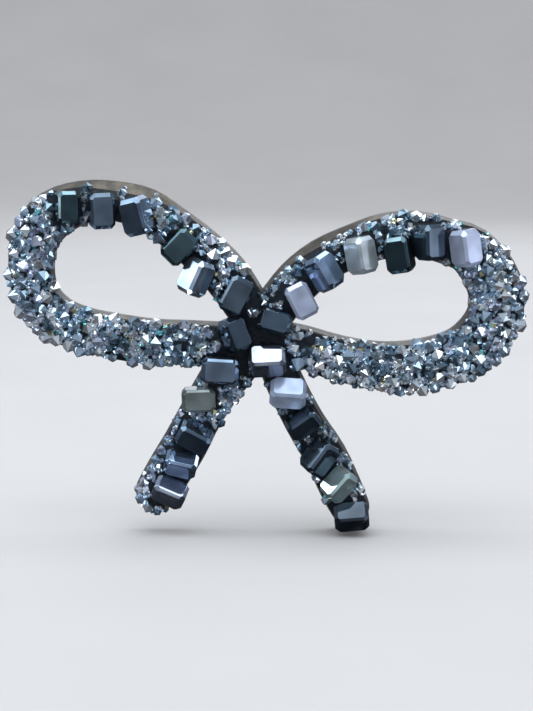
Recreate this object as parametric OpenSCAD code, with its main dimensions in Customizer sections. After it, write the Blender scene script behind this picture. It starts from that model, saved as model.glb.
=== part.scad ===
// Bow brooch: a cast bow-shaped tray filled with dark setting clay, studded with cut nuggets and
// small pointed crystals, on a bar pin with a hinged stem and a rotary safety catch.
// Frame: +X to the right seen from the front, +Y to the back, +Z up. The pin stem lies on the X axis,
// and the origin is the middle of its straight shank.

/* [Tray] */
// Gap from the axis of the stem to the back of the tray
stand_off = 2.4; // [2.2:0.1:3]
// Depth of the tray, back face to rim
tray_depth = 3; // [2.6:0.1:3.4]
// Thickness of the tray's floor
floor_t = 0.8; // [0.6:0.1:1]
// Height of the upright foot of the wall, below its bevel
wall_foot = 1; // [0.6:0.1:1.4]
// Width of the wall's bevel on the plain edges
edge_bevel = 0.3; // [0.2:0.1:0.6]
// Thickness of the rim
rim_t = 0.4; // [0.3:0.1:0.6]

/* [Clay] */
// Height of the clay's upright edge over the rim
clay_edge = 0.5; // [0.4:0.05:0.6]
// Height of the clay's crown over its edge
clay_crown = 0.9; // [0.6:0.1:1.2]
// How far the clay stops short of the rim's outer edge
clay_inset = 0.1; // [0.1:0.05:0.3]

/* [Nuggets] */
// Length of a cut nugget
nugget_l = 5.2; // [4.6:0.1:5.4]
// Width across the flats of a nugget
nugget_w = 3.5; // [3:0.1:3.7]
// How far the long edges are planed off
nugget_edge = 0.35; // [0.2:0.05:0.5]
// How far the end edges are planed off
nugget_end = 0.55; // [0.4:0.05:0.8]
// How far the corners are planed off
nugget_corner = 1.2; // [1.1:0.1:1.9]
// Gap between a nugget's lowest edge and the plane of the rim
nugget_gap = 0.03; // [0.02:0.01:0.1]

/* [Crystals] */
// Largest radius of a crystal
crystal_r = 0.75; // [0.65:0.05:0.95]
// Smallest radius of a crystal
crystal_r_min = 0.3; // [0.26:0.02:0.4]
// Gap left between crystals
crystal_gap = 0.05; // [0.02:0.01:0.1]
// Gap left between crystals and nuggets, which the crystals may lean towards
crystal_clear = 0.12; // [0.08:0.02:0.2]
// Height of a crystal's point over its widest ring, times its radius
crystal_rise = 1.35; // [1.1:0.05:1.6]
// How deep a crystal's skirt sits in the clay
crystal_sunk = 0.25; // [0.2:0.05:0.4]
// Largest lean of a crystal away from the clay's normal, in degrees
crystal_lean = 24; // [10:1:30]

/* [Pin] */
// Length of the stem's straight shank
shank_l = 22; // [21:0.5:24]
// Radius of the stem
stem_r = 0.4; // [0.35:0.05:0.45]
// Length of the bar that carries the hinge and the catch
bar_l = 28; // [27:0.5:30]
// Height of the bar
bar_h = 2.8; // [2.6:0.1:3]
// Thickness of the bar
bar_t = 0.6; // [0.5:0.1:0.7]

/* [Hidden] */
// Ribbons of the bow, seen from the front: [x, z, half width, outer bevel]. Each loop starts under
// the knot and comes back to it, and carries on into the tail on the other side.
left_loop = [
    [-1, 2, 2.7, 0.3], [-6, 1.7, 2.9, 0.3], [-11, 1.7, 3.1, 0.3], [-16, 1.8, 3.2, 0.3],
    [-21, 2.5, 3.2, 0.3], [-25.8, 3.6, 3.1, 0.3], [-29.6, 5.2, 3.2, 0.3], [-32.3, 8.3, 3.2, 0.3],
    [-33, 12.5, 3.2, 0.3], [-32.3, 16.7, 3.4, 0.3], [-29.6, 19.8, 3.4, 0.4], [-25.5, 21.4, 3, 0.8],
    [-21, 21.5, 2.8, 1.3], [-17, 20.4, 3, 1.2], [-13.5, 18.1, 3, 0.5], [-9.8, 15.1, 3.2, 0.3],
    [-5.9, 11.2, 3.3, 0.3], [-2.7, 6.5, 3.1, 0.3]];
right_loop = [
    [-1, 2.5, 2.7, 0.3], [4.5, 1.3, 2.9, 0.3], [9, -0.3, 3.2, 0.3], [13.5, -1.3, 3.3, 0.3],
    [18, -1.7, 3.5, 0.3], [23, -1.2, 3.7, 0.3], [27.6, 0.4, 3.8, 0.3], [30.9, 3.8, 3.8, 0.3],
    [32.1, 7.5, 3.9, 0.3], [31, 11.4, 3.8, 0.3], [28.2, 14.7, 3.5, 0.3], [24.7, 16, 3.2, 0.3],
    [21, 16.9, 3.2, 0.3], [16.5, 16.7, 3.2, 0.4], [12.2, 15.4, 3, 0.7], [7.8, 13.3, 3.1, 1],
    [4.2, 10.3, 3.2, 0.6], [0.8, 6.2, 3.1, 0.3]];
left_tail = [
    [-3.4, 0.6, 3.6, 0.3], [-6.8, -4.3, 3.3, 0.3], [-9.4, -8.5, 3.1, 0.3],
    [-11.6, -12.7, 3.2, 0.3], [-14, -16.7, 3.2, 0.3], [-15.7, -19.4, 3, 0.3]];
right_tail = [
    [0.2, 1.5, 2.7, 0.3], [2.4, -4, 2.7, 0.3], [5.2, -9.6, 2.8, 0.3],
    [8.2, -14.5, 3, 0.3], [10.3, -19, 3, 0.3], [11.6, -21.7, 2.8, 0.3]];
left_ribbon = concat(left_loop, right_tail);
right_ribbon = concat(right_loop, left_tail);
tail_at = len(left_loop);

// Cut nuggets: [x, z, turn of the long axis from +X, roll about it, size]
nuggets_left_loop = [
    [-27.6, 21, 90, 20, 0.86], [-22.8, 20.5, 92, 12, 0.95], [-18, 19.8, 105, 66, 1],
    [-12.2, 15.6, 45, 6, 0.95], [-9.9, 11.4, 66, 45, 0.97], [-4.4, 8.9, 62, 6, 1]];
nuggets_right_loop = [
    [27.2, 15.4, 98, 40, 0.97], [22.2, 16.2, 92, 35, 0.95], [18.1, 14.5, 100, 70, 0.97],
    [12.8, 14.4, 100, 42, 0.97], [7.8, 12.1, 120, 42, 0.97], [4.6, 8.1, 117, 5, 0.95]];
nuggets_knot = [
    [-4.6, 3.4, 110, 30, 0.92], [0.9, 5, 165, 15, 0.88], [-0.1, -0.3, 3, 47, 1], [-6.6, -1.5, -3, 5, 1]];
nuggets_left_tail = [
    [-9.6, -5.7, 2, 4, 0.9], [-10.2, -11, -28, 25, 0.92], [-12.1, -14.8, -13, 38, 0.87],
    [-13.7, -18.8, -24, 40, 0.9]];
nuggets_right_tail = [
    [2.8, -4.8, -4, 45, 0.97], [4.9, -9, 35, 30, 0.88], [7.2, -13.8, 54, 40, 0.95],
    [9.9, -17.7, 49, 42, 0.9], [11.7, -22.3, 5, 45, 0.93]];

NUGGET_ROWS = [
    ["nugget_left_loop", nuggets_left_loop], ["nugget_right_loop", nuggets_right_loop],
    ["nugget_knot", nuggets_knot], ["nugget_left_tail", nuggets_left_tail],
    ["nugget_right_tail", nuggets_right_tail]];
nuggets = [for (row = NUGGET_ROWS) each row[1]];

// Crystals set one by one about the knot and along the tails: [x, z, radius]
set_at_knot = [
    [0.9, 9.6, 0.6], [2.1, 11.2, 0.6], [-1.9, 9.8, 0.65], [-0.6, 8.3, 0.5], [-2.3, 8.5, 0.4],
    [-7, 8.9, 0.45], [-7.1, 7.6, 0.4], [-4.7, 5.9, 0.55], [4, 6.1, 0.45], [4.1, 4.4, 0.5], [4.3, 3, 0.6],
    [5.8, 3.4, 0.4], [5.5, 1, 0.65], [3.7, 1.2, 0.6], [4.2, -0.9, 0.85], [5.9, -0.6, 0.6], [6, -3.1, 0.55],
    [-5, -4, 0.65], [-4, -5.2, 0.6], [-3.1, -3, 0.4], [-2.2, -4.2, 0.4], [-2, 2, 0.4], [2.7, 2.4, 0.45],
    [-9.8, -3.2, 0.4], [-1.5, -3.3, 0.4], [-8.6, 3.7, 0.6], [-7.2, 4.2, 0.5], [-7.2, 1.3, 0.6],
    [-1.8, 6.2, 0.5], [-0.6, 6.9, 0.45], [2.3, 8.2, 0.45], [1.2, 7.3, 0.4], [-0.6, 9.6, 0.4],
    [-3.9, -6.6, 0.45], [-2.6, -5.2, 0.4], [-1, -4.2, 0.35], [-4.9, 13.3, 0.75], [-3.2, 11.3, 0.55]];
set_on_left_tail = [
    [-6.5, -5.6, 0.5], [-6.7, -7.8, 0.65], [-5.6, -6.7, 0.5], [-6.6, -9.3, 0.6], [-11.8, -8.2, 0.5],
    [-10.4, -8.2, 0.5], [-12.4, -9.6, 0.55], [-9, -8.6, 0.5], [-14, -11.8, 0.55], [-14.8, -13.2, 0.6],
    [-15.6, -14.6, 0.6], [-13.2, -10.6, 0.5], [-16.4, -16, 0.5], [-17.2, -17.6, 0.6], [-17.8, -20, 0.65],
    [-16.8, -21.3, 0.6], [-15.5, -21.9, 0.5], [-17, -18.9, 0.5], [-9.1, -13.1, 0.4], [-8, -11.4, 0.35],
    [-18.1, -18.7, 0.5], [-14.2, -22.1, 0.4]];
set_on_right_tail = [
    [5, -5.3, 0.45], [5.6, -6.6, 0.45], [6.6, -8, 0.45], [7, -9.3, 0.5], [7.8, -10.6, 0.5],
    [8.8, -11.9, 0.55], [9.4, -13.1, 0.5], [10.2, -14, 0.45], [6.6, -16.6, 0.55], [7, -18.2, 0.5],
    [8.2, -20.4, 0.6], [9.2, -21.9, 0.5], [3.5, -11.4, 0.45], [4.5, -12.4, 0.4], [10, -23.6, 0.4],
    [12.6, -23.9, 0.4], [8.3, -10.2, 0.55], [9.3, -12.1, 0.6], [10.4, -13.8, 0.5], [6.1, -7, 0.45],
    [13.6, -18.6, 0.5], [13.2, -17.4, 0.45], [11.6, -15.3, 0.5]];

// Crystal zones: [node, ribbon, outer side, first and last place along it, seed, crystals set by hand,
// zones set before it that it keeps clear of]
CRYSTAL_ZONES = [
    ["crystals_knot", left_ribbon, 1, 0, 0, 5, set_at_knot, []],
    ["crystals_left_loop", left_ribbon, 1, 1.5, 10.4, 11, [], [0]],
    ["crystals_left_crest", left_ribbon, 1, 10.4, 16.2, 37, [], [0, 1]],
    ["crystals_right_loop", right_ribbon, -1, 1.4, 10.2, 41, [], [0]],
    ["crystals_right_crest", right_ribbon, -1, 10.2, 16.4, 67, [], [0, 3]],
    ["crystals_left_tail", right_ribbon, -1, tail_at + 1, tail_at + 5.2, 71, set_on_left_tail, [0]],
    ["crystals_right_tail", left_ribbon, 1, tail_at + 1.1, tail_at + 5.2, 83, set_on_right_tail, [0]]];

function nugget_name(row, i) = str(row[0], "_", i);

back_y = -stand_off;
steps = 3;              // slices of a ribbon between two of its points
cut = 1;                // how far a cutting solid reaches past what it cuts

// A place on a ribbon by Catmull-Rom through its points, t in points from the start
function held(path, i) = path[max(0, min(len(path) - 1, i))];
function place(path, t) =
    let (i = min(len(path) - 2, max(0, floor(t))), f = t - i,
         a = held(path, i - 1), b = held(path, i), c = held(path, i + 1), d = held(path, i + 2))
    (2 * b + (c - a) * f + (2 * a - 5 * b + 4 * c - d) * f * f + (3 * b - a - 3 * c + d) * f * f * f) / 2;
function along(path, t) =
    let (a = place(path, t - 0.02), b = place(path, t + 0.02), d = [b.x - a.x, b.y - a.y])
    d / norm(d);
function across(path, t, side) = let (d = along(path, t)) side * [-d.y, d.x];

// Ring of points of a ribbon's slice: profile points are [offset outwards, depth from the back]
function ring(path, t, side, profile) =
    let (p = place(path, t), n = across(path, t, side))
    [for (q = profile) [p.x + n.x * q[0], back_y - q[1], p.y + n.y * q[0]]];

function tray_profile(w, bevel) = [
    [-w, 0], [w, 0], [w, wall_foot], [w - bevel, tray_depth],
    [edge_bevel - w, tray_depth], [-w, wall_foot]];
function pocket_in(w) = w - edge_bevel - rim_t;
function pocket_out(w, bevel) = w - bevel - rim_t;
function pocket_profile(w, bevel, low, high) = [
    [-pocket_in(w), low], [pocket_out(w, bevel), low], [pocket_out(w, bevel), high], [-pocket_in(w), high]];

// Clay over the rim: a low crown from one rim to the other
function clay_in(w) = w - edge_bevel - clay_inset;
function clay_out(w, bevel) = w - bevel - clay_inset;
function crown(f) = clay_crown * (1 - f * f);
function clay_spot(w, bevel, f) =
    let (m = (clay_out(w, bevel) - clay_in(w)) / 2, h = (clay_out(w, bevel) + clay_in(w)) / 2)
    [m + h * f, tray_depth + clay_edge + crown(f)];
function crown_profile(w, bevel) = [
    [-clay_in(w), tray_depth],
    for (f = [-1 : 0.5 : 1]) clay_spot(w, bevel, f),
    [clay_out(w, bevel), tray_depth]];

// One slice between two rings. Its ends bulge a little into its neighbours, so that they join solidly.
bulge_share = 0.15;
function middle(ring) = [for (q = ring) 1] * ring / len(ring);
module slab(a, b) {
    bulge = bulge_share * (middle(b) - middle(a));
    points = concat(a, b, [middle(a) - bulge, middle(b) + bulge]);
    hull() polyhedron(points, [[for (i = [0 : len(points) - 1]) i]]);
}

// What a ribbon's slices sweep: kind picks the profile
function profile_of(kind, w, bevel) =
    kind == "tray" ? tray_profile(w, bevel)
    : kind == "pocket" ? pocket_profile(w, bevel, floor_t, tray_depth + cut)
    : kind == "fill" ? pocket_profile(w, bevel, floor_t, tray_depth + clay_edge / 2)
    : crown_profile(w, bevel);

// Slices fall half a step apart between the shell and what fills it, so that their edges never meet
function slices(path, kind) =
    let (last = len(path) - 1, inner = kind == "pocket" || kind == "fill")
    inner
        ? [for (k = [0 : last * steps - 1]) (k + 0.5) / steps]
        : [for (k = [0 : last * steps]) k / steps];

module sweep(path, side, kind) {
    rings = [
        for (t = slices(path, kind))
            let (p = place(path, t))
            ring(path, t, side, profile_of(kind, p[2], p[3]))];
    for (k = [0 : len(rings) - 2]) slab(rings[k], rings[k + 1]);
}

// Round end of a tail: half a turn of the same profile about the tail's last slice
module tip(path, side, kind) {
    all = slices(path, kind);
    last = all[len(all) - 1];
    p = place(path, last);
    n = across(path, last, side);
    halves = [for (q = profile_of(kind, p[2], p[3])) if (q[0] > 0) q];
    turned = [
        for (a = [0 : 15 : 180], q = halves)
            let (d = n * cos(a) + side * [n.y, -n.x] * sin(a))
            [p.x + d.x * q[0], back_y - q[1], p.y + d.y * q[0]]];
    hull() polyhedron(turned, [[for (i = [0 : len(turned) - 1]) i]]);
}

module bow(kind) {
    sweep(left_ribbon, 1, kind);
    sweep(right_ribbon, -1, kind);
    tip(left_ribbon, 1, kind);
    tip(right_ribbon, -1, kind);
}

module base_tray() {
    color("#8a7a62")
        difference() {
            bow("tray");
            bow("pocket");
        }
}

module setting_clay() {
    color("#141a20") {
        bow("fill");
        bow("crown");
    }
}

// A cut nugget: a square bar with planed edges, ends and corners, long axis on X
module nugget() {
    edge_flat = (nugget_w - nugget_edge) * sqrt(2);
    end_flat = (nugget_l + nugget_w - 2 * nugget_end) / sqrt(2);
    corner_flat = (nugget_l + 2 * nugget_w - 2 * nugget_corner) / sqrt(3);
    big = nugget_l * 2;
    intersection() {
        cube([nugget_l, nugget_w, nugget_w], center = true);
        rotate([45, 0, 0]) cube([big, edge_flat, edge_flat], center = true);
        rotate([0, 45, 0]) cube([end_flat, big, end_flat], center = true);
        rotate([0, 0, 45]) cube([end_flat, end_flat, big], center = true);
        intersection_for (turn = [-45, 45], lean = [-1, 1])
            rotate([0, lean * atan(1 / sqrt(2)), turn]) cube([corner_flat, big, big], center = true);
    }
}

// Distance from a nugget's long axis to its lowest edge, when it is rolled about that axis
function nugget_reach(roll) =
    nugget_w / 2 * max(cos(roll), sin(roll)) + (nugget_w / 2 - nugget_edge) * min(cos(roll), sin(roll));

module set_nugget(row, i) {
    p = row[1][i - 1];
    color(i % 2 == 0 ? "#4a5a6c" : "#6b7c90")
        translate([p[0], back_y - tray_depth - nugget_gap - p[4] * nugget_reach(p[3]), p[1]])
            rotate([0, -p[2], 0])
                rotate([p[3], 0, 0])
                    scale(p[4])
                        nugget();
}

// Even numbers from a seed, 0 to 1 and -1 to 1
function noise(seed, i) = let (v = sin(seed * 127.1 + i * 311.7) * 4375.85) v - floor(v);
function spread(seed, i) = 2 * noise(seed, i) - 1;

// Clear distance from a spot to the nearest nugget's outline, whose corners are cut
corner_cut = nugget_corner / 3;
function gap_to_nuggets(p) =
    min([for (q = nuggets)
        let (d = [p.x - q[0], p.y - q[1]], c = cos(q[2]), s = sin(q[2]),
             thick = nugget_w * (cos(q[3]) + sin(q[3])) - nugget_edge,
             u = abs(d.x * c + d.y * s) - q[4] * nugget_l / 2,
             v = abs(d.y * c - d.x * s) - q[4] * thick / 2)
        max(u, v, (u + v + corner_cut) / sqrt(2))]);

// The clay's top under a spot, on the ribbon that the spot is over or nearest: [depth, slope, outward
// direction, share of the way from the crown to the edge, step past the edge]
LINE_STEPS = 4;
function centre_line(path) = [for (k = [0 : LINE_STEPS * (len(path) - 1)]) place(path, k / LINE_STEPS)];
left_line = centre_line(left_ribbon);
right_line = centre_line(right_ribbon);
function top_on(path, line, side, p) =
    let (gaps = [for (q = line) norm([p.x - q[0], p.y - q[1]])], near = min(gaps),
         k = [for (i = [0 : len(gaps) - 1]) if (gaps[i] == near) i][0], q = line[k],
         beyond = k == len(line) - 1, out = across(path, k / LINE_STEPS, side),
         away = beyond ? [p.x - q[0], p.y - q[1]] / near : out,
         s = beyond ? near : (p.x - q[0]) * out.x + (p.y - q[1]) * out.y,
         m = (clay_out(q[2], q[3]) - clay_in(q[2])) / 2,
         h = (clay_out(q[2], q[3]) + clay_in(q[2])) / 2,
         f = max(-1, min(1, (s - m) / h)))
    [tray_depth + clay_edge + crown(f), atan(2 * clay_crown * f / h), away, abs(f), away * (s - m - f * h)];
function top_at(p) =
    let (a = top_on(left_ribbon, left_line, 1, p), b = top_on(right_ribbon, right_line, -1, p))
    a[0] - norm(a[4]) > b[0] - norm(b[4]) ? a : b;

// Crystals of a zone: [spot, radius, clay's top there]. The ones set by hand come first. Then darts are
// thrown along the zone in passes, the large ones first, and a dart is kept where it is clear of the
// nuggets and of the crystals kept before it. It may shrink a little to fit.
PASSES = 7;
DARTS = 16;             // darts in the first pass, for each step of the ribbon; each pass throws as many more
shrink = 0.85;          // smallest share of its pass's radius that a dart may shrink to
hand_r_min = 0.25;      // smallest radius that a crystal set by hand may shrink to
function room(p, depth, kept) =
    min([gap_to_nuggets(p) - crystal_clear, for (c = kept)
        norm([p.x - c[0].x, p.y - c[0].y, depth - c[2][0]]) - c[1] - crystal_gap]);
function dart(zone, pass, k, n) =
    let (id = pass * 1000 + k, t = zone[3] + (zone[4] - zone[3]) * (k + noise(zone[5], id)) / n,
         p = place(zone[1], t), out = across(zone[1], t, zone[2]),
         s = clay_spot(p[2], p[3], spread(zone[5] + 1, id)))
    [p.x + out.x * s[0], p.y + out.y * s[0]];
function throw(zone, pass, k, n, wanted, kept) =
    k == n ? kept
    : let (p = dart(zone, pass, k, n), top = top_at(p), r = min(wanted, room(p, top[0], kept)))
      throw(zone, pass, k + 1, n, wanted,
            r > shrink * wanted ? concat(kept, [[p, r, top]]) : kept);
function passes(zone, pass, kept) =
    pass == PASSES ? kept
    : let (least = crystal_r_min / shrink,
           wanted = crystal_r + (least - crystal_r) * pass / (PASSES - 1),
           n = ceil((zone[4] - zone[3]) * DARTS * (1 + pass)))
      passes(zone, pass + 1, throw(zone, pass, 0, n, wanted, kept));
function by_hand(list, i, kept) =
    i == len(list) ? kept
    : let (top = top_at(list[i]), p = [list[i][0] - top[4].x, list[i][1] - top[4].y],
           r = min(list[i][2], room(p, top[0], kept)))
      by_hand(list, i + 1, r > hand_r_min ? concat(kept, [[p, r, top]]) : kept);
function laid(zone) =
    let (fixed = [for (k = zone[7]) each laid(CRYSTAL_ZONES[k])],
         all = passes(zone, 0, by_hand(zone[6], 0, fixed)))
    [for (j = [len(fixed) : len(all) - 1]) all[j]];

// A pointed crystal: a short skirt set in the clay, its widest ring, then six facets to the point
skirt_h = crystal_sunk + 0.1;
skirt_taper = 0.85;
module crystal(r) {
    hull() {
        cylinder(h = skirt_h, r1 = skirt_taper * r, r2 = r, $fn = 6);
        translate([0, 0, skirt_h])
            cylinder(h = crystal_rise * r, r1 = r, r2 = 0, $fn = 6);
    }
}

// Crystals lean at random, and less towards the edges, where the clay already slopes
edge_calm = 0.8;
module crystals(zone) {
    set = laid(zone);
    seed = zone[5];
    for (j = [0 : len(set) - 1]) {
        p = set[j][0];
        top = set[j][2];
        lean = crystal_lean * (1 - edge_calm * top[3]);
        translate([p.x, back_y - top[0] + crystal_sunk, p.y])
            rotate([0, -atan2(top[2].y, top[2].x), 0])
                rotate([90, 0, 0])
                    rotate([spread(seed + 3, j) * lean, top[1] + spread(seed + 4, j) * lean, 0])
                        rotate([0, 0, 60 * noise(seed + 5, j)])
                            crystal(set[j][1]);
    }
}

module set_crystals(zone) {
    color("#a9b6c6") crystals(zone);
}

// Pin findings
bar_y = back_y + bar_t;
bar_hole_r = 0.8;
bar_hole_x = 6;
eye_r = 1;
eye_x = -shank_l / 2 - eye_r;
eye_h = 1;
rivet_r = 0.4;
eye_play = 0.05;
ear_t = 0.5;
ear_gap = 0.1;
bracket_t = 0.5;
head_r = 0.7;
head_t = 0.3;
taper_l = 2.4;
taper_r = 0.3;
point_l = 1.2;
point_r = 0.06;
catch_x = shank_l / 2 + 0.4;
catch_l = 2;
housing_r = 1.55;
rotor_r = 1.05;
rotor_play = 0.05;
rotor_out = 0.05;       // how far the rotor stands out of the housing at each end
slot_w = 1;
mouth_play = 0.2;
flange_t = 0.4;
flange_r = 1.4;
lever_l = 2.8;
lever_w = 1;

module pin_bar() {
    color("#b8b4a8")
        difference() {
            union() {
                translate([-(bar_l - bar_h) / 2, back_y, -bar_h / 2])
                    cube([bar_l - bar_h, bar_t, bar_h]);
                for (x = [-1, 1])
                    translate([x * (bar_l - bar_h) / 2, bar_y, 0])
                        rotate([90, 0, 0])
                            cylinder(h = bar_t, r = bar_h / 2, $fn = 48);
            }
            for (x = [-1, 1])
                translate([x * bar_hole_x, bar_y + cut, 0])
                    rotate([90, 0, 0])
                        cylinder(h = bar_t + 2 * cut, r = bar_hole_r, $fn = 48);
        }
}

module hinge_bracket() {
    ear_z = eye_h / 2 + ear_gap;
    color("#c9c3b2")
        difference() {
            union() {
                translate([eye_x - eye_r, bar_y, -ear_z - ear_t])
                    cube([2 * eye_r, bracket_t, 2 * (ear_z + ear_t)]);
                for (z = [-ear_z - ear_t, ear_z]) {
                    translate([eye_x - eye_r, bar_y, z])
                        cube([2 * eye_r, -bar_y, ear_t]);
                    translate([eye_x, 0, z])
                        cylinder(h = ear_t, r = eye_r, $fn = 48);
                }
            }
            translate([eye_x, 0, -ear_z - ear_t - cut])
                cylinder(h = 2 * (ear_z + ear_t + cut), r = rivet_r, $fn = 48);
        }
}

module hinge_rivet() {
    end = eye_h / 2 + ear_gap + ear_t;
    color("#d8d4c8")
        translate([eye_x, 0, 0]) {
            translate([0, 0, -end]) cylinder(h = 2 * end, r = rivet_r, $fn = 48);
            translate([0, 0, end]) cylinder(h = head_t, r = head_r, $fn = 48);
            translate([0, 0, -end - head_t]) cylinder(h = head_t, r = head_r, $fn = 48);
        }
}

module pin_stem() {
    color("#dcdde0")
        difference() {
            union() {
                translate([eye_x, 0, -eye_h / 2])
                    cylinder(h = eye_h, r = eye_r, $fn = 48);
                translate([eye_x, 0, 0])
                    rotate([0, 90, 0])
                        cylinder(h = shank_l / 2 - eye_x, r = stem_r, $fn = 48);
                translate([shank_l / 2, 0, 0])
                    rotate([0, 90, 0])
                        cylinder(h = taper_l, r1 = stem_r, r2 = taper_r, $fn = 48);
                translate([shank_l / 2 + taper_l, 0, 0])
                    rotate([0, 90, 0])
                        cylinder(h = point_l, r1 = taper_r, r2 = point_r, $fn = 48);
            }
            translate([eye_x, 0, -eye_h])
                cylinder(h = 2 * eye_h, r = rivet_r + eye_play, $fn = 48);
        }
}

// Slot for the stem from the axis of the catch out towards +Y, with a round bottom
module channel(w, length) {
    translate([-cut, 0, -w / 2])
        cube([length + 2 * cut, housing_r + cut, w]);
    translate([-cut, 0, 0])
        rotate([0, 90, 0])
            cylinder(h = length + 2 * cut, r = w / 2, $fn = 48);
}

module catch_housing() {
    color("#c9c3b2")
        translate([catch_x, 0, 0])
            difference() {
                union() {
                    rotate([0, 90, 0]) cylinder(h = catch_l, r = housing_r, $fn = 64);
                    translate([0, bar_y, -housing_r]) cube([catch_l, -bar_y, 2 * housing_r]);
                }
                translate([-cut, 0, 0])
                    rotate([0, 90, 0])
                        cylinder(h = catch_l + 2 * cut, r = rotor_r + rotor_play, $fn = 64);
                channel(slot_w + mouth_play, catch_l);
            }
}

module catch_rotor() {
    color("#dcdde0")
        translate([catch_x, 0, 0])
            difference() {
                union() {
                    translate([-rotor_out, 0, 0])
                        rotate([0, 90, 0])
                            cylinder(h = catch_l + 2 * rotor_out, r = rotor_r, $fn = 64);
                    translate([catch_l + rotor_out, 0, 0])
                        rotate([0, 90, 0])
                            cylinder(h = flange_t, r = flange_r, $fn = 64);
                    translate([catch_l + rotor_out, -lever_w / 2, -lever_l])
                        cube([flange_t, lever_w, lever_l]);
                }
                channel(slot_w, catch_l + flange_t);
            }
}

base_tray();
setting_clay();
for (row = NUGGET_ROWS, i = [1 : len(row[1])])
    set_nugget(row, i);
for (zone = CRYSTAL_ZONES)
    set_crystals(zone);
pin_bar();
hinge_bracket();
hinge_rivet();
pin_stem();
catch_housing();
catch_rotor();
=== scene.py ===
"""Looks of the bow brooch.

Cut nuggets and pointed crystals stand in dark clay, in a cast bronze tray with a pin behind it.
"""

import math
import random

import bmesh
import bpy
from mathutils import Matrix, Vector
from mathutils.bvhtree import BVHTree


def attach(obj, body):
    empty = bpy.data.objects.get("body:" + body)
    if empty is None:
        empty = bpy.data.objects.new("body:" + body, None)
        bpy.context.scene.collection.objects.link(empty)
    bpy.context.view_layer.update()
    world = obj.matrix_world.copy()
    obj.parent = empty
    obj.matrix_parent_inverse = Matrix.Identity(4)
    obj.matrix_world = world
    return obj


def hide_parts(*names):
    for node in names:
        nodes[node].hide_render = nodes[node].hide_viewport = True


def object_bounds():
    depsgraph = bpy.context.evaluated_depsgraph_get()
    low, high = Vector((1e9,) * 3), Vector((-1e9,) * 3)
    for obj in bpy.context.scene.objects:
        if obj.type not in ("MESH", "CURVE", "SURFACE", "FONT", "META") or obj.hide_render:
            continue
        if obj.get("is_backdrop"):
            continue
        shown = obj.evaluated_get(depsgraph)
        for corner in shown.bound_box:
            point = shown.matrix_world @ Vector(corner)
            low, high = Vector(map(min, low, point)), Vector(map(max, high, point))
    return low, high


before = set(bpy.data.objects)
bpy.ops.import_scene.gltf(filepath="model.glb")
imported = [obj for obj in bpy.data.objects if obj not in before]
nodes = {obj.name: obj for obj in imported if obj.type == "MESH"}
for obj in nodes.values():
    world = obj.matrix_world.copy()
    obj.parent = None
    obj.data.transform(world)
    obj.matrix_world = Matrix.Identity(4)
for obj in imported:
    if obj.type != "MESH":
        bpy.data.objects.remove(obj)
cad_low, cad_high = (Vector(corner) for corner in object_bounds())
middle = (cad_low + cad_high) / 2
MM = 0.001
FULL_TURN = 2 * math.pi


# ---------------------------------------------------------------- material parts


def new_material(name, color, metallic, roughness):
    """A principled material: itself, its node tree, shader and place in the object, in mm.

    Noise takes over from the plain colour, and mostly from the plain roughness, which the
    export of the visual model still reads.
    """
    material = bpy.data.materials.new(name)
    material.use_nodes = True
    tree = material.node_tree
    shader = tree.nodes["Principled BSDF"]
    shader.inputs["Base Color"].default_value = (*color, 1)
    shader.inputs["Metallic"].default_value = metallic
    shader.inputs["Roughness"].default_value = roughness
    place = tree.nodes.new("ShaderNodeTexCoord")
    scale = tree.nodes.new("ShaderNodeMapping")
    scale.inputs["Scale"].default_value = (1 / MM, 1 / MM, 1 / MM)
    tree.links.new(place.outputs["Object"], scale.inputs["Vector"])
    return material, tree, shader, scale.outputs["Vector"]


def noise(tree, place, scale, detail=2.0):
    """Noise of so many features per millimetre."""
    node = tree.nodes.new("ShaderNodeTexNoise")
    node.inputs["Scale"].default_value = scale
    node.inputs["Detail"].default_value = detail
    tree.links.new(place, node.inputs["Vector"])
    return node.outputs["Fac"]


def ramp(tree, value, stops):
    """Colours by value, from stops of (position, colour)."""
    node = tree.nodes.new("ShaderNodeValToRGB")
    elements = node.color_ramp.elements
    while len(elements) < len(stops):
        elements.new(0.5)
    for element, (position, color) in zip(elements, stops):
        element.position = position
        element.color = (*color, 1)
    tree.links.new(value, node.inputs["Fac"])
    return node.outputs["Color"]


# Most of a noise's values lie between these two.
NOISE_LOW, NOISE_HIGH = 0.3, 0.7


def spread(tree, value, low, high):
    """A noise stretched to run from low to high."""
    node = tree.nodes.new("ShaderNodeMapRange")
    node.inputs["From Min"].default_value = NOISE_LOW
    node.inputs["From Max"].default_value = NOISE_HIGH
    node.inputs["To Min"].default_value = low
    node.inputs["To Max"].default_value = high
    tree.links.new(value, node.inputs["Value"])
    return node.outputs["Result"]


def bump(tree, shader, value, depth_mm):
    """Raises the surface by up to so many millimetres where the value is high."""
    node = tree.nodes.new("ShaderNodeBump")
    node.inputs["Strength"].default_value = 1.0
    node.inputs["Distance"].default_value = depth_mm * MM
    tree.links.new(value, node.inputs["Height"])
    tree.links.new(node.outputs["Normal"], shader.inputs["Normal"])


def tint(color, share):
    """A colour made lighter or darker, and no lighter than white."""
    return tuple(min(1.0, c * share) for c in color)


# ---------------------------------------------------------------- materials

# Cut glass: how far its tone drifts, how its haze varies, and its clear outer polish.
GLASS_DRIFT = 0.25
GLASS_HAZE = (0.6, 1.6)
GLASS_COAT = 0.3
GLASS_COAT_ROUGHNESS = 0.02


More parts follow.
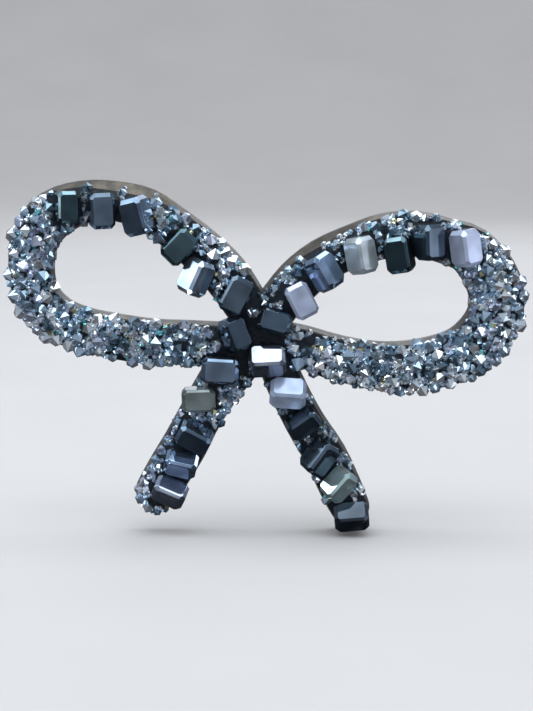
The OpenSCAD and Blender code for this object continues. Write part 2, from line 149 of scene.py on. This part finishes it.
def foiled_glass(name, color, roughness=0.06, metallic=0.94):
    """Cut glass with foil behind it: mirror-like facets whose tone drifts from place to place."""
    material, tree, shader, place = new_material(name, color, metallic, roughness)
    drift = noise(tree, place, 0.3, 1.0)
    stops = [(0.35, tint(color, 1 - GLASS_DRIFT)), (0.65, tint(color, 1 + GLASS_DRIFT))]
    tree.links.new(ramp(tree, drift, stops), shader.inputs["Base Color"])
    clearest, haziest = (roughness * share for share in GLASS_HAZE)
    haze = spread(tree, noise(tree, place, 0.8), clearest, haziest)
    tree.links.new(haze, shader.inputs["Roughness"])
    shader.inputs["Coat Weight"].default_value = GLASS_COAT
    shader.inputs["Coat Roughness"].default_value = GLASS_COAT_ROUGHNESS
    return material


def clay_material():
    """Cured setting clay: blue-black, dull and finely grained."""
    material, tree, shader, place = new_material("dark_clay", (0.006, 0.011, 0.016), 0.0, 0.42)
    grain = noise(tree, place, 2.2, 4.0)
    stops = [(0.3, (0.003, 0.006, 0.011)), (0.7, (0.010, 0.018, 0.028))]
    tree.links.new(ramp(tree, grain, stops), shader.inputs["Base Color"])
    bump(tree, shader, grain, 0.12)
    shader.inputs["Specular IOR Level"].default_value = 0.25
    return material


def bronze_material():
    """Antique bronze plating on the cast tray: a patchy patina and small pits."""
    material, tree, shader, place = new_material("antique_bronze", (0.15, 0.13, 0.11), 0.55, 0.4)
    patina = noise(tree, place, 0.35, 8.0)
    stops = [
        (0.36, (0.05, 0.043, 0.036)),
        (0.5, (0.088, 0.075, 0.061)),
        (0.64, (0.145, 0.121, 0.096)),
    ]
    tree.links.new(ramp(tree, patina, stops), shader.inputs["Base Color"])
    pits = noise(tree, place, 3.0, 3.0)
    tree.links.new(spread(tree, pits, 0.32, 0.5), shader.inputs["Roughness"])
    bump(tree, shader, pits, 0.04)
    return material


def plated_material(name, color, roughness):
    """Bright metal of the pin, rubbed unevenly by use."""
    material, tree, shader, place = new_material(name, color, 1.0, roughness)
    rub = noise(tree, place, 1.2, 4.0)
    stops = [(NOISE_LOW, tint(color, 0.8)), (NOISE_HIGH, tint(color, 1.1))]
    tree.links.new(ramp(tree, rub, stops), shader.inputs["Base Color"])
    worn = spread(tree, rub, roughness * 0.7, roughness * 1.5)
    tree.links.new(worn, shader.inputs["Roughness"])
    bump(tree, shader, noise(tree, place, 6.0, 2.0), 0.01)
    return material


INK = foiled_glass("nugget_ink", (0.06, 0.078, 0.1))
SLATE = foiled_glass("nugget_slate", (0.105, 0.145, 0.19))
DUSK = foiled_glass("nugget_dusk", (0.19, 0.26, 0.35))
TEAL = foiled_glass("nugget_teal", (0.07, 0.12, 0.14))
OLIVE = foiled_glass("nugget_olive", (0.20, 0.24, 0.24), 0.2, 0.7)
BLUE = foiled_glass("nugget_blue", (0.30, 0.40, 0.56))
SKY = foiled_glass("nugget_sky", (0.40, 0.48, 0.64), 0.16, 0.5)
LAVENDER = foiled_glass("nugget_lavender", (0.44, 0.50, 0.66), 0.16, 0.55)
FROST = foiled_glass("nugget_frost", (0.50, 0.60, 0.72), 0.06, 0.94)
MINT = foiled_glass("nugget_mint", (0.58, 0.75, 0.74), 0.08, 0.85)
SAGE = foiled_glass("nugget_sage", (0.40, 0.46, 0.50), 0.16, 0.55)
PLUM = foiled_glass("nugget_plum", (0.46, 0.50, 0.60), 0.05, 0.97)
NUGGET_LOOKS = {
    "nugget_left_loop_1": TEAL,
    "nugget_left_loop_2": SLATE,
    "nugget_left_loop_3": DUSK,
    "nugget_left_loop_4": TEAL,
    "nugget_left_loop_5": FROST,
    "nugget_left_loop_6": SLATE,
    "nugget_right_loop_1": LAVENDER,
    "nugget_right_loop_2": SLATE,
    "nugget_right_loop_3": TEAL,
    "nugget_right_loop_4": SAGE,
    "nugget_right_loop_5": BLUE,
    "nugget_right_loop_6": LAVENDER,
    "nugget_knot_1": SLATE,
    "nugget_knot_2": SLATE,
    "nugget_knot_3": PLUM,
    "nugget_knot_4": DUSK,
    "nugget_left_tail_1": OLIVE,
    "nugget_left_tail_2": DUSK,
    "nugget_left_tail_3": BLUE,
    "nugget_left_tail_4": PLUM,
    "nugget_right_tail_1": SKY,
    "nugget_right_tail_2": SLATE,
    "nugget_right_tail_3": SLATE,
    "nugget_right_tail_4": MINT,
    "nugget_right_tail_5": INK,
}
CRYSTAL_LOOKS = [
    foiled_glass("crystal_silver", (0.82, 0.93, 1.0), 0.03, 0.86),
    foiled_glass("crystal_steel", (0.48, 0.61, 0.73), 0.03, 0.86),
    foiled_glass("crystal_lavender", (0.68, 0.72, 0.92), 0.03, 0.86),
    foiled_glass("crystal_smoke", (0.19, 0.28, 0.35), 0.03, 0.86),
    foiled_glass("crystal_mint", (0.30, 0.85, 0.80), 0.03),
    foiled_glass("crystal_gold", (1.0, 0.74, 0.40), 0.03),
]
CLAY = clay_material()
BRONZE = bronze_material()
NICKEL = plated_material("nickel_plate", (0.60, 0.58, 0.54), 0.22)
STEEL = plated_material("steel_wire", (0.70, 0.71, 0.73), 0.16)


def dress(name, material):
    """Gives a CAD node its material."""
    mesh = nodes[name].data
    mesh.materials.clear()
    mesh.materials.append(material)


# ---------------------------------------------------------------- stones

# Corners of a CAD mesh that are this close are one corner.
WELD = 0.002 * MM


def welded(name):
    """A CAD node's mesh with its split corners joined, as a bmesh."""
    shape = bmesh.new()
    shape.from_mesh(nodes[name].data)
    bmesh.ops.remove_doubles(shape, verts=shape.verts, dist=WELD)
    return shape


def replace_node(name, shape, materials):
    """Makes a flat-shaded mesh object of a bmesh, riding on the brooch in place of a CAD node."""
    mesh = bpy.data.meshes.new("cut_" + name)
    shape.to_mesh(mesh)
    shape.free()
    for material in materials:
        mesh.materials.append(material)
    piece = bpy.data.objects.new("cut_" + name, mesh)
    bpy.context.scene.collection.objects.link(piece)
    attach(piece, "brooch")
    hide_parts(name)
    return piece


# ---------------------------------------------------------------- nuggets

NUGGET_BEVEL = 0.035 * MM
# Faces that meet at less than this are one face of a nugget.
NUGGET_FLAT = math.radians(2)


def cut_nugget(name, look):
    """A nugget with its edges ground to fine bevels."""
    shape = welded(name)
    bmesh.ops.dissolve_limit(
        shape, angle_limit=NUGGET_FLAT, verts=shape.verts, edges=shape.edges
    )
    sharp = [
        edge
        for edge in shape.edges
        if len(edge.link_faces) == 2 and edge.calc_face_angle() > NUGGET_FLAT
    ]
    bmesh.ops.bevel(
        shape,
        geom=sharp,
        offset=NUGGET_BEVEL,
        offset_type="OFFSET",
        segments=2,
        profile=0.6,
        affect="EDGES",
    )
    piece = replace_node(name, shape, [look])


for nugget, nugget_look in NUGGET_LOOKS.items():
    cut_nugget(nugget, nugget_look)


# ---------------------------------------------------------------- crystals

# Rings of corners under a crystal's point, as (radius, height) in shares of its radius:
# the foot of its skirt, then the bottom and the top of its girdle.
CRYSTAL_RINGS = ((0.7, -0.6), (1, -0.1), (1, 0.04))
CRYSTAL_SIDES = (5, 6, 6, 7)
# The most that a crystal is spun about its axis, in radians.
CRYSTAL_SPIN = 6.3

# CAD crystals: how often each look comes, how much wider they are made, their height as a
# share of the new radius, and the most that they lean, in degrees.
CRYSTAL_ODDS = (8, 7, 3, 4, 0, 0)
CRYSTAL_GROWTH = (1.22, 1.5)
CRYSTAL_HEIGHT = (0.9, 1.2)
CRYSTAL_LEAN = 28

# Small fillers round each CAD crystal: the same, with their radius in millimetres, how many
# are tried, and how far beyond the CAD crystal each stands, as a share of its own radius.
FILLER_ODDS = (8, 7, 3, 4, 0.8, 0.5)
FILLER_RADIUS = (0.3, 0.5)
FILLER_HEIGHT = (1.3, 1.9)
FILLER_LEAN = 45
FILLER_TRIES = 4
FILLER_GAP = 0.6

# A filler's spot is looked for from this Y, in front of the brooch, and the surface there has
# to face forwards: the Y part of its normal is this or less.
LOOK_FROM = cad_low.y - 5 * MM
FACES_FORWARDS = -0.5

FIRST_SEED = 100


def islands(shape):
    """The separate pieces of a bmesh, each as a list of corner places."""
    seen, found = set(), []
    for start in shape.verts:
        if start in seen:
            continue
        group, todo = [], [start]
        seen.add(start)
        while todo:
            vert = todo.pop()
            group.append(vert.co.copy())
            for edge in vert.link_edges:
                other = edge.other_vert(vert)
                if other not in seen:
                    seen.add(other)
                    todo.append(other)
        found.append(group)
    return found


def measure(corners):
    """Base middle, axis and radius of a CAD crystal, from its corners."""
    centre = sum(corners, Vector()) / len(corners)
    tip = max(corners, key=lambda c: (c - centre).length)
    rest = [c for c in corners if c is not tip]
    base = sum(rest, Vector()) / len(rest)
    axis = (tip - base).normalized()
    radius = max((c - base - axis * (c - base).dot(axis)).length for c in rest)
    return base, axis, radius


def cut_crystal(shape, place, radius, height, sides, look):
    """Adds a pointed crystal: a skirt, an upright girdle, then long facets up to the point."""
    angles = [FULL_TURN * i / sides for i in range(sides)]
    rings = []
    for share, level in CRYSTAL_RINGS:
        reach, rise = share * radius, level * radius
        corners = [Vector((reach * math.cos(a), reach * math.sin(a), rise)) for a in angles]
        rings.append([shape.verts.new(place @ corner) for corner in corners])
    tip = shape.verts.new(place @ Vector((0, 0, height)))
    faces = [shape.faces.new(reversed(rings[0]))]
    for i in range(sides):
        j = (i + 1) % sides
        for low, high in zip(rings, rings[1:]):
            faces.append(shape.faces.new((low[i], low[j], high[j], high[i])))
        faces.append(shape.faces.new((rings[-1][i], rings[-1][j], tip)))
    for face in faces:
        face.material_index = look


def lucky_crystal(shape, luck, base, axis, radius, height, odds):
    """Adds a crystal of a random look, number of sides and spin."""
    look = luck.choices(range(len(CRYSTAL_LOOKS)), odds)[0]
    sides = luck.choice(CRYSTAL_SIDES)
    spin = Matrix.Rotation(luck.uniform(0, CRYSTAL_SPIN), 4, "Z")
    turn = axis.to_track_quat("Z", "Y").to_matrix().to_4x4()
    cut_crystal(shape, Matrix.Translation(base) @ turn @ spin, radius, height, sides, look)


def tilted(axis, lean, luck):
    """An axis leant over by up to so many degrees, towards a random side."""
    sideways = axis.orthogonal().normalized()
    sideways.rotate(Matrix.Rotation(luck.uniform(0, FULL_TURN), 3, axis))
    bent = axis.copy()
    bent.rotate(Matrix.Rotation(math.radians(lean) * luck.random(), 3, sideways))
    return bent


def bvh(names):
    """The shapes of CAD nodes, joined for finding what a ray meets."""
    shape = bmesh.new()
    for name in names:
        shape.from_mesh(nodes[name].data)
    tree = BVHTree.FromBMesh(shape)
    shape.free()
    return tree


def bare_spot(x, z):
    """The spot and normal of the clay or the rim at a place seen from the front.

    It is None where there is neither, where the surface faces sideways, and where a stone is.
    """
    start, ahead = Vector((x, LOOK_FROM, z)), Vector((0, 1, 0))
    spot, normal, _, _ = ground_shape.ray_cast(start, ahead)
    if spot is None or normal.y > FACES_FORWARDS:
        return None
    covered = stone_shapes.ray_cast(start, ahead)[0] is not None
    return None if covered else (spot, normal)


def add_fillers(shape, luck, base, radius):
    """Adds small crystals round the base of a CAD crystal, where the clay or the rim is bare."""
    for _ in range(FILLER_TRIES):
        turn, small = luck.uniform(0, FULL_TURN), luck.uniform(*FILLER_RADIUS) * MM
        reach = radius + FILLER_GAP * small
        found = bare_spot(base.x + reach * math.cos(turn), base.z + reach * math.sin(turn))
        if found:
            spot, normal = found
            axis = tilted(normal, FILLER_LEAN, luck)
            height = small * luck.uniform(*FILLER_HEIGHT)
            lucky_crystal(shape, luck, spot, axis, small, height, FILLER_ODDS)


def set_crystals(name, seed):
    """The crystals of one CAD node, wider, lower and less even, with small fillers round each."""
    luck = random.Random(seed)
    cad = welded(name)
    shape = bmesh.new()
    for corners in islands(cad):
        base, cad_axis, radius = measure(corners)
        grown = radius * luck.uniform(*CRYSTAL_GROWTH)
        axis = tilted(cad_axis, CRYSTAL_LEAN, luck)
        height = grown * luck.uniform(*CRYSTAL_HEIGHT)
        lucky_crystal(shape, luck, base, axis, grown, height, CRYSTAL_ODDS)
        add_fillers(shape, luck, base, radius)
    cad.free()
    bmesh.ops.recalc_face_normals(shape, faces=shape.faces)
    piece = replace_node(name, shape, CRYSTAL_LOOKS)


crystal_nodes = sorted(n for n in nodes if n.startswith("crystals_"))
ground_shape = bvh(["setting_clay", "base_tray"])
stone_shapes = bvh(list(NUGGET_LOOKS) + crystal_nodes)
for number, crystal_node in enumerate(crystal_nodes):
    set_crystals(crystal_node, FIRST_SEED + number)


# ---------------------------------------------------------------- tray, clay and pin

dress("base_tray", BRONZE)
dress("setting_clay", CLAY)
for part in ("pin_bar", "hinge_bracket", "hinge_rivet", "catch_housing", "catch_rotor"):
    dress(part, NICKEL)
dress("pin_stem", STEEL)


# ---------------------------------------------------------------- floor

# The floor is a bowl: flat out to one radius, then rising to its rim, in metres.
FLOOR_GAP = 0.5 * MM
FLOOR_FLAT, FLOOR_RIM, FLOOR_HEIGHT = 0.35, 1.6, 0.9
FLOOR_STEPS, FLOOR_SIDES = 40, 96


def paper_material():
    """Matt pale paper with a faint mottle."""
    material, tree, shader, place = new_material("pale_paper", (0.46, 0.46, 0.465), 0.0, 0.9)
    stops = [(0.3, (0.45, 0.45, 0.455)), (0.7, (0.47, 0.47, 0.475))]
    mottle = ramp(tree, noise(tree, place, 0.02, 3.0), stops)
    tree.links.new(mottle, shader.inputs["Base Color"])
    return material


def add_sweep():
    """Pale floor under the brooch that curves up all round, far from it."""
    level = cad_low.z - FLOOR_GAP
    profile = []
    for k in range(FLOOR_STEPS + 1):
        u = k / FLOOR_STEPS
        profile.append((FLOOR_FLAT + (FLOOR_RIM - FLOOR_FLAT) * u, level + FLOOR_HEIGHT * u**3))
    turns = [FULL_TURN * k / FLOOR_SIDES for k in range(FLOOR_SIDES)]
    shape = bmesh.new()
    rings = [
        [shape.verts.new((r * math.cos(t), r * math.sin(t), z)) for t in turns]
        for r, z in profile
    ]
    shape.faces.new(rings[0])
    for low, high in zip(rings, rings[1:]):
        for k in range(FLOOR_SIDES):
            shape.faces.new((low[k], high[k], high[k - 1], low[k - 1])).smooth = True
    mesh = bpy.data.meshes.new("sweep")
    shape.to_mesh(mesh)
    shape.free()
    mesh.materials.append(paper_material())
    sweep = bpy.data.objects.new("sweep", mesh)
    sweep.visible_glossy = False
    bpy.context.scene.collection.objects.link(sweep)
    sweep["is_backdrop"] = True


# ---------------------------------------------------------------- lights

PANEL_DISTANCE = 0.5
PANEL_POWER = 4

# Small panels in a wavy ring round the brooch, near its own plane: their elevation climbs on
# the right, over the top, down the left and under it, while their azimuth sways.
RIM_PANELS = 11
RIM_AZIMUTH, RIM_SWAY, RIM_SWAY_STEP = 100, 24, 2.4
RIM_ELEVATION_STEP, RIM_ELEVATION_DROP = 33, 20
RIM_SIZE, RIM_GLOW = (0.12, 0.07), 3.0


def add_panel(name, azimuth, elevation, size, glow, color=(1, 1, 1)):
    """A soft rectangular light that faces the middle of the brooch.

    Azimuth 0 is in front of it and 90 to its right, in degrees.
    """
    a, e = math.radians(azimuth), math.radians(elevation)
    away = Vector((math.sin(a) * math.cos(e), -math.cos(a) * math.cos(e), math.sin(e)))
    data = bpy.data.lights.new(name, "AREA")
    data.shape = "RECTANGLE"
    data.size, data.size_y = size
    data.energy = PANEL_POWER * glow * size[0] * size[1]
    data.color = color
    panel = bpy.data.objects.new(name, data)
    panel.location = middle + away * PANEL_DISTANCE
    panel.rotation_euler = away.to_track_quat("Z", "Y").to_euler()
    panel.visible_camera = False
    bpy.context.scene.collection.objects.link(panel)


def add_world():
    """Pale walls, which glossy facets see as a room that is dark low down and lighter overhead."""
    world = bpy.data.worlds.new("studio")
    world.use_nodes = True
    tree = world.node_tree
    walls = tree.nodes["Background"]
    walls.inputs["Color"].default_value = (1.0, 1.0, 1.02, 1)
    room = tree.nodes.new("ShaderNodeBackground")
    place = tree.nodes.new("ShaderNodeTexCoord")
    height = tree.nodes.new("ShaderNodeSeparateXYZ")
    tree.links.new(place.outputs["Generated"], height.inputs["Vector"])
    level = tree.nodes.new("ShaderNodeMapRange")
    level.inputs["From Min"].default_value = -1
    tree.links.new(height.outputs["Z"], level.inputs["Value"])
    stops = [
        (0.0, (0.012, 0.016, 0.022)),
        (0.38, (0.05, 0.06, 0.075)),
        (0.5, (0.22, 0.26, 0.32)),
        (1.0, (0.5, 0.58, 0.68)),
    ]
    tree.links.new(ramp(tree, level.outputs["Result"], stops), room.inputs["Color"])
    path = tree.nodes.new("ShaderNodeLightPath")
    mix = tree.nodes.new("ShaderNodeMixShader")
    tree.links.new(path.outputs["Is Glossy Ray"], mix.inputs["Fac"])
    tree.links.new(walls.outputs["Background"], mix.inputs[1])
    tree.links.new(room.outputs["Background"], mix.inputs[2])
    tree.links.new(mix.outputs["Shader"], tree.nodes["World Output"].inputs["Surface"])
    bpy.context.scene.world = world


add_sweep()
add_world()
add_panel("overhead", 0, 84, (0.62, 0.6), 1.6, (0.88, 0.95, 1.0))
add_panel("left_window", -88, 30, (0.3, 0.4), 1.5, (0.86, 0.94, 1.0))
add_panel("right_window", 84, 4, (0.22, 0.36), 0.8, (0.88, 0.9, 1.0))
add_panel("front", 10, -16, (0.4, 0.36), 0.24, (0.88, 0.92, 1.0))
add_panel("behind", 168, 24, (0.4, 0.3), 0.9, (0.95, 0.97, 1.0))
for number in range(RIM_PANELS):
    rim_azimuth = RIM_AZIMUTH + RIM_SWAY * math.sin(number * RIM_SWAY_STEP)
    rim_elevation = RIM_ELEVATION_STEP * number - RIM_ELEVATION_DROP
    add_panel(f"rim_{number}", rim_azimuth, rim_elevation, RIM_SIZE, RIM_GLOW)
bpy.context.scene.view_settings.view_transform = "Standard"


# ---------------------------------------------------------------- camera

# Width of the view at the brooch, the camera's distance and how far it looks down, in degrees.
VIEW_WIDTH = 74.6 * MM
CAMERA_DISTANCE = 0.3
CAMERA_TILT = 8
SENSOR_WIDTH = 36
CLIP_START = 0.01


def add_camera():
    """The camera, in front of the brooch and a little above it."""
    tilt = math.radians(CAMERA_TILT)
    data = bpy.data.cameras.new("camera")
    data.sensor_fit = "HORIZONTAL"
    data.sensor_width = SENSOR_WIDTH
    data.lens = SENSOR_WIDTH * CAMERA_DISTANCE / VIEW_WIDTH
    data.clip_start = CLIP_START
    camera = bpy.data.objects.new("camera", data)
    camera.location = middle + Vector((0, -math.cos(tilt), math.sin(tilt))) * CAMERA_DISTANCE
    camera.rotation_euler = (math.pi / 2 - tilt, 0, 0)
    bpy.context.scene.collection.objects.link(camera)
    bpy.context.scene.camera = camera


add_camera()
